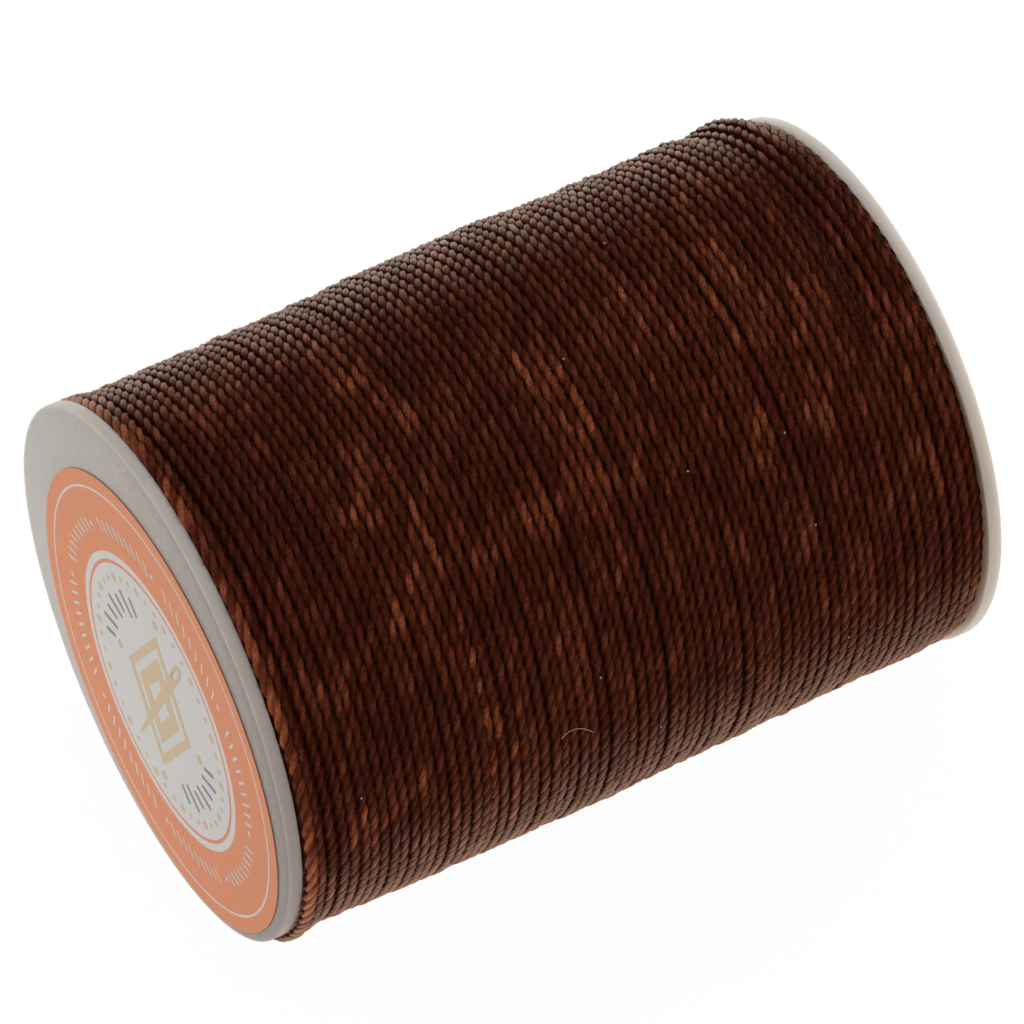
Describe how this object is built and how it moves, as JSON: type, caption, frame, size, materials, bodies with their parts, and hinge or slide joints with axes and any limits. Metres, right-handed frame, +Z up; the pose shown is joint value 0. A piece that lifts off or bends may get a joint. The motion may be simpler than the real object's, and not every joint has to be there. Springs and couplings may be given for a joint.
{
  "type": "waxed thread spool",
  "caption": "Cylindrical plastic spool closely wound with waxed sewing thread, with a round paper label on one end and an open spindle bore at the other.",
  "frame": {"origin": "on the surface that the spool lies on, below the middle of its length", "axes": "+X along the spool's axis from the label end to the rear end, +Z up"},
  "size_m": [0.0438, 0.0314, 0.0313],
  "materials": {
    "barrel_plastic": "satin",
    "flange_plastic": "frosted satin, slightly translucent",
    "label_paper": "printed, matt",
    "inner_thread": "waxed thread in shadow",
    "outer_thread": "waxed, softly glossy"
  },
  "bodies": {
    "root": {"spool_barrel": "barrel_plastic", "front_flange": "flange_plastic", "rear_flange": "flange_plastic", "front_label": "label_paper", "inner_windings": "inner_thread", "outer_windings": "outer_thread"}
  },
  "joints": []
}
